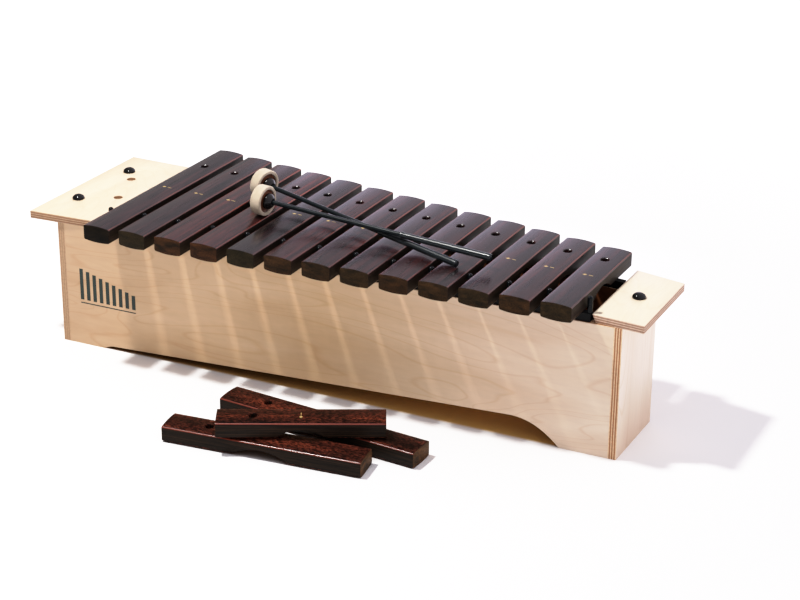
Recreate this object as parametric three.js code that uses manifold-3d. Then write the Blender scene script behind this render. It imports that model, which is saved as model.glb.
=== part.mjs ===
// A diatonic soprano box xylophone in millimetres: a tapered plywood resonator box, thirteen
// rosewood bars on pins and cushion rails, two mallets lying on the bars and three exchange
// bars on the floor in front. +X runs from bass to treble, +Y to the rear, +Z up.
import * as THREE from "three";
import { mergeVertices } from "three/addons/utils/BufferGeometryUtils.js";
import Module from "manifold-3d";

const wasm = await Module();
wasm.setup();

// Driving dimensions
const BAR_COUNT = 13;
const BAR_WIDTH = 30;
const BAR_PITCH = 38.5;
const BASS_LENGTH = 244;
const TREBLE_LENGTH = 144;
const BAR_SIDE = 13.9; // height of a bar's upright long side
const BAR_CROWN = 1.4; // rise of its top over that side
const BAR_BELLY = 1.6; // fall of its underside below that side
const NODE_FRACTION = 0.284; // from a bar's middle to its still points, per length
const BAR_HOLE_RADIUS = 4;
const TUNING_FRACTION = 0.32; // length of the tuning arch, per bar length
const TUNING_DEPTH = 8;
const SHALLOW_TUNING_DEPTH = 4.5;

const BOX_HEIGHT = 131.2;
const BOX_LEFT = -311;
const BOX_RIGHT = 283.4;
const END_PLY = 8;
const SIDE_PLY = 9;
const FLOOR_PLY = 5;
const PLATE_PLY = 8;
const PIN_INSET = 5.4; // from a side panel's outer face to its row of pins
const GAP = 0.3; // left between pieces that touch

const RAIL_HEIGHT = 8.2;
const RAIL_WIDTH = 7;
const STRIP_HEIGHT = 1.6;
const PIN_RADIUS = 2.8;
const SHANK_RADIUS = 1.8;
const SHANK_DEPTH = 12;
const FRONT_PIN_TOP = 155.4;
const REAR_PIN_TOP = 153.2;

const RAIL_TOP = BOX_HEIGHT + RAIL_HEIGHT;
const PLATE_TOP = BOX_HEIGHT + PLATE_PLY;
const BAR_BOTTOM = RAIL_TOP + GAP;
const BAR_TOP = BAR_BOTTOM + BAR_BELLY + BAR_SIDE + BAR_CROWN;
const ROW_END = ((BAR_COUNT - 1) / 2) * BAR_PITCH;
const CURVE_STEPS = 6;
const ROUND_STEPS = 8;

// Materials
const finish = (color, roughness, metalness = 0) =>
  new THREE.MeshStandardMaterial({ color, roughness, metalness });
const birch = finish(0xd9bf98, 0.5);
const birchTop = finish(0xf3e6c8, 0.5);
const rosewood = finish(0x3a2426, 0.35);
const spareRosewood = finish(0x4a241a, 0.4);
const blackRubber = finish(0x101010, 0.8);
const blackPlastic = finish(0x0c0c0e, 0.2);
const felt = finish(0xe9dcc0, 0.9);
const brownCore = finish(0x7a4426, 0.5);

const instrument = new THREE.Group();

// Geometry helpers
function solid(geometry) {
  const bare = geometry.clone();
  bare.deleteAttribute("normal");
  bare.deleteAttribute("uv");
  const merged = mergeVertices(bare, 1e-4);
  return new wasm.Manifold(
    new wasm.Mesh({
      numProp: 3,
      vertProperties: merged.attributes.position.array,
      triVerts: new Uint32Array(merged.index.array),
    }),
  );
}

function geometryOf(body) {
  const mesh = body.getMesh();
  const geometry = new THREE.BufferGeometry();
  geometry.setAttribute("position", new THREE.BufferAttribute(mesh.vertProperties, 3));
  geometry.setIndex(new THREE.BufferAttribute(mesh.triVerts, 1));
  geometry.computeVertexNormals();
  return geometry;
}

function addPiece(name, geometry, material, parent = instrument) {
  const mesh = new THREE.Mesh(geometry, material);
  mesh.name = name;
  parent.add(mesh);
  return mesh;
}

function extrude(shape, depth) {
  return new THREE.ExtrudeGeometry(shape, {
    depth,
    bevelEnabled: false,
    curveSegments: CURVE_STEPS,
  });
}

const extrudeUp = (shape, z0, z1) => extrude(shape, z1 - z0).translate(0, 0, z0);

// A shape drawn in x and z, extruded from y0 to y1.
function extrudeBack(shape, y0, y1) {
  return extrude(shape, y1 - y0).rotateX(Math.PI / 2).translate(0, y1, 0);
}

// A shape drawn in y and z, extruded from x0 to x1.
function extrudeAcross(shape, x0, x1) {
  const turn = new THREE.Matrix4().set(0, 0, 1, x0, 1, 0, 0, 0, 0, 1, 0, 0, 0, 0, 0, 1);
  return extrude(shape, x1 - x0).applyMatrix4(turn);
}

const polygon = (points) => new THREE.Shape(points.map(([a, b]) => new THREE.Vector2(a, b)));

function uprightCylinder(radius, x, y, z0, z1) {
  return new THREE.CylinderGeometry(radius, radius, z1 - z0, ROUND_STEPS)
    .rotateX(Math.PI / 2)
    .translate(x, y, (z0 + z1) / 2);
}

const lathe = (profile, steps) =>
  new THREE.LatheGeometry(profile.map(([r, h]) => new THREE.Vector2(r, h)), steps);

// Plan of the instrument: bar lengths, pin rows and the box's sides share one taper.
const barX = (index) => (index - (BAR_COUNT - 1) / 2) * BAR_PITCH;
const barLengthAt = (x) =>
  THREE.MathUtils.mapLinear(x, -ROW_END, ROW_END, BASS_LENGTH, TREBLE_LENGTH);
const pinRowAt = (x) => NODE_FRACTION * barLengthAt(x);
const boxHalfAt = (x) => pinRowAt(x) + PIN_INSET;
const frontPinX = Array.from({ length: BAR_COUNT + 1 }, (_, i) => barX(i - 0.5));
const rearPinX = Array.from({ length: BAR_COUNT }, (_, i) => barX(i));

// A straight band that follows the taper, side -1 at the front and 1 at the rear. Its edges
// lie outer and inner millimetres in from the box's side.
function taperedBand(side, x0, x1, outer, inner) {
  const edge = (x, inset) => [x, side * (boxHalfAt(x) - inset)];
  const points = [edge(x0, outer), edge(x1, outer), edge(x1, inner), edge(x0, inner)];
  return polygon(side < 0 ? points : points.reverse());
}

// Resonator box
const INNER_LEFT = BOX_LEFT + END_PLY;
const INNER_RIGHT = BOX_RIGHT - END_PLY;
const CUT_START = -262; // the foot under the bass end stops here
const CUT_LOW = { x: -250, z: 3.8 };
const CUT_HIGH = { x: 178, z: 23.2 };
const CUT_END = 228.5;
const CUT_SLOPE = (CUT_HIGH.z - CUT_LOW.z) / (CUT_HIGH.x - CUT_LOW.x);
const cutHeightAt = (x) => CUT_LOW.z + CUT_SLOPE * (x - CUT_LOW.x);

// The long sloping cut-out under each side panel, low at the bass end, with a round treble end.
function footCut() {
  const bend = CUT_HIGH.x + 27;
  const below = -5;
  return new THREE.Shape()
    .moveTo(CUT_START - 2, below)
    .lineTo(CUT_END + 5, below)
    .lineTo(CUT_END, 0)
    .quadraticCurveTo(bend, cutHeightAt(bend), CUT_HIGH.x, CUT_HIGH.z)
    .lineTo(CUT_LOW.x, CUT_LOW.z)
    .quadraticCurveTo(CUT_START + 6, CUT_LOW.z, CUT_START, 0);
}

function endPanel(x0, x1) {
  const corners = [
    [x0, -boxHalfAt(x0)],
    [x1, -boxHalfAt(x1)],
    [x1, boxHalfAt(x1)],
    [x0, boxHalfAt(x0)],
  ];
  return extrudeUp(polygon(corners), 0, BOX_HEIGHT);
}

function sidePanel(side, pinXs) {
  const board = extrudeUp(taperedBand(side, INNER_LEFT, INNER_RIGHT, 0, SIDE_PLY), 0, BOX_HEIGHT);
  let panel = solid(board).subtract(solid(extrudeBack(footCut(), -150, 150)));
  for (const x of pinXs) {
    const radius = SHANK_RADIUS + GAP;
    const bottom = BOX_HEIGHT - SHANK_DEPTH - GAP;
    panel = panel.subtract(
      solid(uprightCylinder(radius, x, side * pinRowAt(x), bottom, BOX_HEIGHT + 1)),
    );
  }
  return geometryOf(panel);
}

// The resonator's floor slopes with the cut-out, so the chamber is shallower under the treble.
function resonatorFloor() {
  const rise = 4;
  const [left, right] = [INNER_LEFT, INNER_RIGHT];
  const slab = polygon([
    [left, cutHeightAt(left) + rise],
    [right, cutHeightAt(right) + rise],
    [right, cutHeightAt(right) + rise + FLOOR_PLY],
    [left, cutHeightAt(left) + rise + FLOOR_PLY],
  ]);
  const inset = SIDE_PLY + GAP;
  const plan = polygon([
    [left, inset - boxHalfAt(left)],
    [right, inset - boxHalfAt(right)],
    [right, boxHalfAt(right) - inset],
    [left, boxHalfAt(left) - inset],
  ]);
  return geometryOf(solid(extrudeBack(slab, -150, 150)).intersect(solid(extrudeUp(plan, 0, 100))));
}

addPiece("end_panel_bass", endPanel(BOX_LEFT, INNER_LEFT), birch);
addPiece("end_panel_treble", endPanel(INNER_RIGHT, BOX_RIGHT), birch);
addPiece("side_panel_front", sidePanel(-1, frontPinX), birch);
addPiece("side_panel_rear", sidePanel(1, []), birch);
addPiece("resonator_floor", resonatorFloor(), birch);

// End plates lie on the box flush with its front and reach past its rear and its ends.
const PLATE_UNDERCUT = 3.5; // the treble plate's inner edge leans in below its top
const KNOB_RADIUS = 6.4;
const KNOB_HEIGHT = 5;
const KNOB_SHANK = 2;
const SOCKET_RADIUS = 4.7;
const SOCKET_DEPTH = 6;

const bassPlate = {
  outline: [
    [-341, -85],
    [-270, -77.5],
    [-270, 98],
    [-341, 96],
  ],
  sockets: [
    [-284.4, -11.5],
    [-303.4, 38.5],
  ],
  knobs: { knob_bass_near: [-318, -34], knob_bass_far: [-317.7, 55.4] },
};
const treblePlate = {
  outline: [
    [253.4, -41.5],
    [303.6, -43],
    [302.4, 62.5],
    [252.6, 70.5],
  ],
  sockets: [],
  knobs: { knob_treble: [277, 12] },
};

function endPlate({ outline, sockets, knobs }) {
  let plate = solid(extrudeUp(polygon(outline), BOX_HEIGHT, PLATE_TOP));
  const drill = (radius, [x, y], bottom) => {
    const bit = uprightCylinder(radius, x, y, bottom, PLATE_TOP + 1);
    plate = plate.subtract(solid(bit));
  };
  sockets.forEach((place) => drill(SOCKET_RADIUS, place, PLATE_TOP - SOCKET_DEPTH));
  Object.values(knobs).forEach((place) => drill(KNOB_SHANK + GAP, place, BOX_HEIGHT - 1));
  return plate;
}

// A round black knob on a shank that fills the plate's depth.
function knob([x, y]) {
  const dome = Array.from({ length: CURVE_STEPS }, (_, i) => {
    const angle = (i / CURVE_STEPS) * (Math.PI / 2);
    return [KNOB_RADIUS * Math.cos(angle), KNOB_HEIGHT * Math.sin(angle)];
  });
  const profile = [[0, -PLATE_PLY], [KNOB_SHANK, -PLATE_PLY], [KNOB_SHANK, 0], ...dome];
  profile.push([0, KNOB_HEIGHT]);
  return lathe(profile, 16).rotateX(Math.PI / 2).translate(x, y, PLATE_TOP);
}

function undercutPlate(plate) {
  const [inner, , , far] = treblePlate.outline;
  const reach = 20;
  const wedge = polygon([
    [inner[0] - reach, BOX_HEIGHT - 1],
    [inner[0] + PLATE_UNDERCUT + 0.5, BOX_HEIGHT - 1],
    [far[0] - 0.5, PLATE_TOP - 0.5],
    [inner[0] - reach, PLATE_TOP - 0.5],
  ]);
  return plate.subtract(solid(extrudeBack(wedge, -150, 150)));
}

addPiece("end_plate_bass", geometryOf(endPlate(bassPlate)), birchTop);
addPiece("end_plate_treble", geometryOf(undercutPlate(endPlate(treblePlate))), birchTop);
for (const { knobs } of [bassPlate, treblePlate])
  for (const [name, place] of Object.entries(knobs)) addPiece(name, knob(place), blackPlastic);

// Cushion rails and pins
const RAIL_LEFT = -268;
const RAIL_RIGHT = 252.2;

function cushionRail(side, z0, pinXs) {
  const [outer, inner] = [PIN_INSET - RAIL_WIDTH / 2, PIN_INSET + RAIL_WIDTH / 2];
  const band = taperedBand(side, RAIL_LEFT, RAIL_RIGHT, outer, inner);
  let rail = solid(extrudeUp(band, z0, RAIL_TOP));
  const radius = SHANK_RADIUS + GAP;
  for (const x of pinXs) {
    const bit = uprightCylinder(radius, x, side * pinRowAt(x), z0 - 1, RAIL_TOP + 1);
    rail = rail.subtract(solid(bit));
  }
  return geometryOf(rail);
}

// A pin has a thin shank up to its neck and a thicker round-ended post above it.
function pin(x, y, bottom, neck, top) {
  const tip = PIN_RADIUS * 0.6;
  const profile = [
    [0, bottom],
    [SHANK_RADIUS, bottom],
    [SHANK_RADIUS, neck],
    [PIN_RADIUS, neck],
    [PIN_RADIUS, top - tip],
    [PIN_RADIUS * 0.7, top - tip * 0.3],
    [0, top],
  ];
  return lathe(profile, ROUND_STEPS).rotateX(Math.PI / 2).translate(x, y, 0);
}

addPiece("cushion_rail_front", cushionRail(-1, BOX_HEIGHT, frontPinX), blackRubber);
frontPinX.forEach((x, i) => {
  const geometry = pin(x, -pinRowAt(x), BOX_HEIGHT - SHANK_DEPTH, RAIL_TOP, FRONT_PIN_TOP);
  addPiece("front_pin_" + String(i + 1).padStart(2, "0"), geometry, blackRubber);
});

const stripTop = BOX_HEIGHT + STRIP_HEIGHT;
addPiece("cushion_rail_rear", cushionRail(1, stripTop, rearPinX), blackRubber);

function rearPinStrip() {
  const band = taperedBand(1, RAIL_LEFT, RAIL_RIGHT, PIN_INSET - 2.5, PIN_INSET + 2.5);
  let strip = solid(extrudeUp(band, BOX_HEIGHT, stripTop));
  for (const x of rearPinX)
    strip = strip.add(solid(pin(x, pinRowAt(x), BOX_HEIGHT + 0.4, RAIL_TOP, REAR_PIN_TOP)));
  return geometryOf(strip);
}
addPiece("rear_pin_strip", rearPinStrip(), blackRubber);

// Bars
function barSection() {
  const half = BAR_WIDTH / 2;
  const top = BAR_BELLY + BAR_SIDE;
  const corner = 1.2;
  const lip = 0.35;
  const sag = BAR_BELLY * 0.7;
  return new THREE.Shape()
    .moveTo(-half, BAR_BELLY + corner)
    .lineTo(-half + corner, sag)
    .quadraticCurveTo(0, -sag, half - corner, sag)
    .lineTo(half, BAR_BELLY + corner)
    .lineTo(half, top - corner)
    .lineTo(half - corner, top + lip)
    .quadraticCurveTo(0, top + 2 * BAR_CROWN - lip, -half + corner, top + lip)
    .lineTo(-half, top - corner);
}

// A bar along Y, its underside's lowest line at z = 0, with its pin hole holeSide of the middle.
function barGeometry(length, tuningDepth = TUNING_DEPTH) {
  const blank = solid(extrudeBack(barSection(), -length / 2, length / 2));
  const half = (length * TUNING_FRACTION) / 2;
  const depth = BAR_BELLY + tuningDepth;
  const arch = new THREE.Shape()
    .moveTo(-half, -1)
    .lineTo(half, -1)
    .lineTo(half, 0)
    .quadraticCurveTo(0, 2 * depth, -half, 0);
  const hole = uprightCylinder(BAR_HOLE_RADIUS, 0, NODE_FRACTION * length, -1, BAR_TOP);
  const tuned = blank.subtract(solid(extrudeAcross(arch, -BAR_WIDTH, BAR_WIDTH)));
  return geometryOf(tuned.subtract(solid(hole)));
}

for (let i = 0; i < BAR_COUNT; i += 1) {
  const name = "bar_" + String(i + 1).padStart(2, "0");
  const bar = addPiece(name, barGeometry(barLengthAt(barX(i))), rosewood);
  bar.position.set(barX(i), 0, BAR_BOTTOM);
}

// Exchange bars on the floor; the short one lies across the other two. turn is the angle of
// a bar's length from -X, with its pin hole towards the bass end.
const STACK = BAR_BELLY + BAR_SIDE + BAR_CROWN + GAP;
const spareBars = {
  spare_bar_front: { length: 197, turn: 8.3, place: [-2.8, -185, 0] },
  spare_bar_back: {
    length: 212,
    turn: -2.2,
    place: [24.6, -128.6, 0],
    tuningDepth: SHALLOW_TUNING_DEPTH,
  },
  spare_bar_top: { length: 156, turn: 28.7, place: [21.5, -161.6, STACK] },
};
for (const [name, { length, turn, place, tuningDepth }] of Object.entries(spareBars)) {
  const bar = addPiece(name, barGeometry(length, tuningDepth), spareRosewood);
  bar.rotation.z = THREE.MathUtils.degToRad(90 + turn);
  bar.position.set(...place);
}

// Mallets: a felt ring on a wooden core with a black hub, a thin shaft and a thicker grip.
const MALLET_LENGTH = 256; // from the head's centre to the butt
const HEAD_RADIUS = 15;
const HEAD_WIDTH = 13;
const CORE_RADIUS = 11.3;
const HUB_RADIUS = 8;
const HUB_LENGTH = 7;
const SHAFT_RADIUS = 2.4;
const GRIP_RADIUS = 3.4;
const GRIP_START = 159;
const MALLET_STEPS = 20;

const tube = (inner, outer, h0, h1, steps) =>
  lathe([[inner, h0], [outer, h0], [outer, h1], [inner, h1], [inner, h0]], steps);

// The hub is a short collar that tapers to the shaft.
function hubGeometry(bore, start) {
  const end = start + HUB_LENGTH;
  const profile = [[bore, start], [HUB_RADIUS, start], [HUB_RADIUS, start + HUB_LENGTH * 0.35]];
  profile.push([HUB_RADIUS * 0.55, end], [bore, end], [bore, start]);
  return lathe(profile, 12);
}

// A mallet along its own +Y, its head's centre at the origin.
function addMallet(prefix, head, butt) {
  const mallet = new THREE.Group();
  const half = HEAD_WIDTH / 2;
  const bore = SHAFT_RADIUS + GAP;
  const edge = 2;
  const ring = lathe(
    [
      [CORE_RADIUS + GAP, -half],
      [HEAD_RADIUS - edge, -half],
      [HEAD_RADIUS, -half + edge],
      [HEAD_RADIUS, half - edge],
      [HEAD_RADIUS - edge, half],
      [CORE_RADIUS + GAP, half],
      [CORE_RADIUS + GAP, -half],
    ],
    MALLET_STEPS,
  );
  const hubStart = half - 1;
  addPiece(prefix + "_ring", ring, felt, mallet);
  const core = tube(bore, CORE_RADIUS, 1 - half, hubStart, MALLET_STEPS);
  addPiece(prefix + "_core", core, brownCore, mallet);
  const hub = hubGeometry(bore, hubStart + GAP);
  addPiece(prefix + "_hub", hub, blackPlastic, mallet);
  const shaftLength = MALLET_LENGTH + half - 4;
  const shaft = new THREE.CylinderGeometry(SHAFT_RADIUS, SHAFT_RADIUS, shaftLength, ROUND_STEPS);
  shaft.translate(0, (MALLET_LENGTH - half) / 2, 0);
  addPiece(prefix + "_shaft", shaft, blackPlastic, mallet);
  const grip = tube(bore, GRIP_RADIUS, GRIP_START, MALLET_LENGTH, ROUND_STEPS);
  addPiece(prefix + "_grip", grip, blackRubber, mallet);
  const along = new THREE.Vector3().subVectors(butt, head).normalize();
  mallet.quaternion.setFromUnitVectors(new THREE.Vector3(0, 1, 0), along);
  mallet.position.copy(head);
  instrument.add(mallet);
}

// The lower mallet lies on the bars at both ends; the upper one's shaft crosses over it.
const headHeight = BAR_TOP + HEAD_RADIUS + GAP;
const lowerButt = BAR_TOP + GRIP_RADIUS + GAP;
const upperButt = lowerButt + 8.9;
addMallet(
  "mallet_lower",
  new THREE.Vector3(-128.5, 22.2, headHeight),
  new THREE.Vector3(116.4, -41.8, lowerButt),
);
addMallet(
  "mallet_upper",
  new THREE.Vector3(-106.2, -16.7, headHeight),
  new THREE.Vector3(154, -33.5, upperButt),
);

// The part's origin is the centre of the footprint, on the floor.
const bounds = new THREE.Box3().setFromObject(instrument, true);
const middle = bounds.getCenter(new THREE.Vector3());
instrument.position.set(-middle.x, -middle.y, 0);

export default instrument;
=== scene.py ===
"""The looks of a diatonic box xylophone, its mallets and its exchange bars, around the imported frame.

Shapes are drawn in the instrument's own millimetres: x runs from bass to treble with 0 at the
middle bar, y to the rear with 0 at the bars' middles, and z is up from the floor.
"""

import math

import bmesh
import bpy
from mathutils import Matrix, Vector


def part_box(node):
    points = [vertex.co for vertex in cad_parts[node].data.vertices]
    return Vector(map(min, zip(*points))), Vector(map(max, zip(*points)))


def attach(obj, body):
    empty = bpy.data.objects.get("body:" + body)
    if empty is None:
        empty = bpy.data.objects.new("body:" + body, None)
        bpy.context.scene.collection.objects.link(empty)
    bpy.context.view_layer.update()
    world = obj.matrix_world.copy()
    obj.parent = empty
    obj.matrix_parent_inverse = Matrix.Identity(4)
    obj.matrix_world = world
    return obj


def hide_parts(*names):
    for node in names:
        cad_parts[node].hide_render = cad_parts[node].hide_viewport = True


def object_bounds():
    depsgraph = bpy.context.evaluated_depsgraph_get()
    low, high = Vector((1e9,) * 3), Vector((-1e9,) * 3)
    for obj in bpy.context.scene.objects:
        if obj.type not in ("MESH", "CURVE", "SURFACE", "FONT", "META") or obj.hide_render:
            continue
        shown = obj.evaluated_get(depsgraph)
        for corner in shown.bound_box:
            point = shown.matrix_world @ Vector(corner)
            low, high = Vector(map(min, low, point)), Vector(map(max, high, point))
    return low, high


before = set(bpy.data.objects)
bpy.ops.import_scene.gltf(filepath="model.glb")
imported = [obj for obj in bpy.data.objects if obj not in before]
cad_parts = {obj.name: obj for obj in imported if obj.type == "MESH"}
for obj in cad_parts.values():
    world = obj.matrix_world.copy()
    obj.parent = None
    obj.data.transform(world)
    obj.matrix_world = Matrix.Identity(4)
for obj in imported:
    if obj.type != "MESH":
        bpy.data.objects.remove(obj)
cad_low, cad_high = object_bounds()

MM = 0.001


def middle_of(node):
    low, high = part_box(node)
    return (low + high) / 2


# Driving dimensions, in millimetres, as the frame has them. Fractions are of a bar's length.
BAR_COUNT = 13
BAR_WIDTH = 30
BAR_PITCH = 38.5
BASS_LENGTH = 244
TREBLE_LENGTH = 144
BAR_SIDE = 13.9
BAR_CROWN = 1.4
BAR_BELLY = 1.6
BAR_CORNER = 1.2
BAR_LIP = 0.35
NODE_FRACTION = 0.284
BAR_HOLE_RADIUS = 4
TUNING_FRACTION = 0.32
TUNING_DEPTH = 8
SHALLOW_TUNING_DEPTH = 4.5

BOX_HEIGHT = 131.2
BOX_LEFT = -311
BOX_RIGHT = 283.4
END_PLY = 8
SIDE_PLY = 9
FLOOR_PLY = 5
PLATE_PLY = 8
PIN_INSET = 5.4
RAIL_HEIGHT = 8.2
RAIL_WIDTH = 7
STRIP_HEIGHT = 1.6
RAIL_LEFT = -268
RAIL_RIGHT = 252.2
PIN_RADIUS = 2.55  # a quarter of a millimetre slimmer than in the frame
SHANK_RADIUS = 1.8
SHANK_DEPTH = 12
FIT_GAP = 0.3
FRONT_PIN_TOP = 155.4
REAR_PIN_TOP = 153.2
INNER_LEFT = BOX_LEFT + END_PLY
INNER_RIGHT = BOX_RIGHT - END_PLY
RAIL_TOP = BOX_HEIGHT + RAIL_HEIGHT
PLATE_TOP = BOX_HEIGHT + PLATE_PLY
BAR_TOP = BAR_BELLY + BAR_SIDE + BAR_CROWN
ROW_END = (BAR_COUNT - 1) / 2 * BAR_PITCH

# The middle bar stands at the instrument's x = 0, y = 0.
ORIGIN = Vector((middle_of("bar_07").x, middle_of("bar_07").y, 0))
TO_ROW = Matrix.Translation(ORIGIN) @ Matrix.Scale(MM, 4)


def bar_x(index):
    return (index - (BAR_COUNT - 1) / 2) * BAR_PITCH


def bar_length_at(x):
    return BASS_LENGTH + (TREBLE_LENGTH - BASS_LENGTH) * (x + ROW_END) / (2 * ROW_END)


def pin_row_at(x):
    return NODE_FRACTION * bar_length_at(x)


def box_half_at(x):
    return pin_row_at(x) + PIN_INSET


# ---------------- material nodes

UNSHIFTED = (0, 0, 0)


def new_finish(name, **sockets):
    """A Principled material with these sockets set, an underscore standing for a space."""
    material = bpy.data.materials.new(name)
    material.use_nodes = True
    tree = material.node_tree
    shader = tree.nodes["Principled BSDF"]
    for label, value in sockets.items():
        shader.inputs[label.replace("_", " ")].default_value = value
    return material, tree, shader


def object_coords(tree):
    return tree.nodes.new("ShaderNodeTexCoord").outputs["Object"]


def stretched(tree, vector, scale, location):
    """A scale above 1 makes a pattern finer along that axis."""
    node = tree.nodes.new("ShaderNodeMapping")
    tree.links.new(vector, node.inputs["Vector"])
    node.inputs["Scale"].default_value = scale
    node.inputs["Location"].default_value = location
    return node.outputs["Vector"]


def noise(tree, vector, scale, detail, roughness=0.5, distortion=0.0):
    node = tree.nodes.new("ShaderNodeTexNoise")
    tree.links.new(vector, node.inputs["Vector"])
    node.inputs["Scale"].default_value = scale
    node.inputs["Detail"].default_value = detail
    node.inputs["Roughness"].default_value = roughness
    node.inputs["Distortion"].default_value = distortion
    return node.outputs["Fac"]


def streaked(tree, coords, scale, place, detail, roughness=0.5, distortion=0.0):
    """Noise drawn out along one or more axes."""
    drawn_out = stretched(tree, coords, scale, place)
    return noise(tree, drawn_out, 1.0, detail, roughness, distortion)


def dot_with(tree, vector, direction):
    node = tree.nodes.new("ShaderNodeVectorMath")
    node.operation = "DOT_PRODUCT"
    tree.links.new(vector, node.inputs[0])
    node.inputs[1].default_value = direction
    return node.outputs["Value"]


def axes_of(tree, vector):
    node = tree.nodes.new("ShaderNodeSeparateXYZ")
    tree.links.new(vector, node.inputs[0])
    return node.outputs


def ramp(tree, factor, stops):
    """Colours by position, as (position, (r, g, b)) or (position, grey) pairs."""
    node = tree.nodes.new("ShaderNodeValToRGB")
    band = node.color_ramp
    while len(band.elements) < len(stops):
        band.elements.new(1.0)
    for element, (position, color) in zip(band.elements, stops):
        shade = (color,) * 3 if isinstance(color, (int, float)) else color
        element.position = position
        element.color = (*shade, 1)
    tree.links.new(factor, node.inputs["Fac"])
    return node.outputs["Color"]


def shaded(tree, factor, a, b):
    """a multiplied by b, as far as factor says."""
    node = tree.nodes.new("ShaderNodeMix")
    node.data_type = "RGBA"
    node.blend_type = "MULTIPLY"
    # Inputs 6 and 7 and output 2 are the ones for colours.
    node.inputs[0].default_value = factor
    tree.links.new(a, node.inputs[6])
    tree.links.new(b, node.inputs[7])
    return node.outputs[2]


def plug(tree, socket, value):
    """Links a socket, or sets a number."""
    if isinstance(value, bpy.types.NodeSocket):
        tree.links.new(value, socket)
    else:
        socket.default_value = value


def computed(tree, operation, a, b=0.0):
    node = tree.nodes.new("ShaderNodeMath")
    node.operation = operation
    plug(tree, node.inputs[0], a)
    plug(tree, node.inputs[1], b)
    return node.outputs[0]


def between(tree, value, low, high):
    """value spread from 0..1 to low..high."""
    return computed(tree, "ADD", computed(tree, "MULTIPLY", value, high - low), low)


def dress(tree, shader, base, height, depth):
    """Gives the shader its colour and a relief, depth metres deep."""
    tree.links.new(base, shader.inputs["Base Color"])
    node = tree.nodes.new("ShaderNodeBump")
    node.inputs["Strength"].default_value = 1
    node.inputs["Distance"].default_value = depth
    tree.links.new(height, node.inputs["Height"])
    tree.links.new(node.outputs["Normal"], shader.inputs["Normal"])


# ---------------- materials


def light_and_shade_gradient(tree, coords, base, light_and_shade_tones, upward):
    """Painted light and shade: base multiplied by three colours, spread over the box's height or
    from its left to its right.
    """
    start = 0 if upward else ORIGIN.x + BOX_LEFT * MM
    reach = (BOX_HEIGHT if upward else BOX_RIGHT - BOX_LEFT) * MM
    along = axes_of(tree, coords)["Z" if upward else "X"]
    place = computed(tree, "DIVIDE", computed(tree, "SUBTRACT", along, start), reach)
    shade = ramp(tree, place, list(zip((0.0, 0.5, 0.95), light_and_shade_tones)))
    return shaded(tree, 1.0, base, shade)


def birch_veneer(name, pale, tan, along, seed, figure, light_and_shade_tones):
    """Rotary-cut birch: broad soft bands and thin closed rings drawn out along the grain."""
    material, tree, shader = new_finish(name, Roughness=0.42, Specular_IOR_Level=0.35)
    coords = object_coords(tree)
    long, cross, ring_count = 3.2, 17.0, 19.0
    by_axis = {
        "X": (long, cross, cross),
        "Y": (cross, long, cross),
        "Z": (cross, cross, long),
    }
    place = (seed, seed * 0.7, seed * 1.3)
    broad = streaked(tree, coords, by_axis[along], place, 4.0, 0.55, 0.9)
    base = ramp(tree, broad, [(0.30, tan), (0.68, pale)])
    contour = noise(tree, stretched(tree, coords, by_axis[along], place[::-1]), 0.8, 2.4, 0.4, 0.8)
    rings = computed(tree, "FRACT", computed(tree, "MULTIPLY", contour, ring_count))
    line = (0.88, 0.80, 0.71)
    plain = (1, 1, 1)
    ring_shade = ramp(tree, rings, [(0.0, line), (0.10, plain), (0.88, plain), (1.0, line)])
    base = shaded(tree, 0.62 * figure, base, ring_shade)
    finer = 14
    fine_scale = tuple(value * finer for value in by_axis[along])
    fibre = streaked(tree, coords, fine_scale, place, 3.0, 0.6)
    fibre_shade = ramp(tree, fibre, [(0.25, 0.90), (0.6, 1.0)])
    base = shaded(tree, 0.6, base, fibre_shade)
    # Painted light and shade across the board, where its looks ask for it.
    if light_and_shade_tones:
        base = light_and_shade_gradient(tree, coords, base, light_and_shade_tones, along == "Z")
    tree.links.new(between(tree, fibre, 0.36, 0.52), shader.inputs["Roughness"])
    dress(tree, shader, base, fibre, 0.00004)
    return material


PLY_LAYERS = 7


def ply_edge(name, direction, start, thickness, light, dark):
    """The layers of a plywood board, seen on its edge. direction runs through its thickness."""
    material, tree, shader = new_finish(name, Roughness=0.6, Specular_IOR_Level=0.3)
    coords = object_coords(tree)
    through = dot_with(tree, coords, direction)
    wobble = streaked(tree, coords, (35, 35, 35), UNSHIFTED, 2.0)
    shift = between(tree, wobble, -0.035, 0.035)
    depth = computed(tree, "DIVIDE", computed(tree, "SUBTRACT", through, start), thickness)
    depth = computed(tree, "ADD", depth, shift)
    stops = []
    soft, widening = 0.012, 0.022
    for layer in range(PLY_LAYERS):
        odd = layer % 2
        spread = widening if odd else -widening
        tone = dark if odd else light
        stops.append((max(0.0, layer / PLY_LAYERS + soft - spread), tone))
        stops.append((min(1.0, (layer + 1) / PLY_LAYERS - soft + spread), tone))
    base = ramp(tree, depth, stops)
    pores = streaked(tree, coords, (420, 420, 420), UNSHIFTED, 3.0, 0.7)
    base = shaded(tree, 0.8, base, ramp(tree, pores, [(0.3, 0.72), (0.62, 1.05)]))
    dress(tree, shader, base, pores, 0.00012)
    return material


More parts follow.
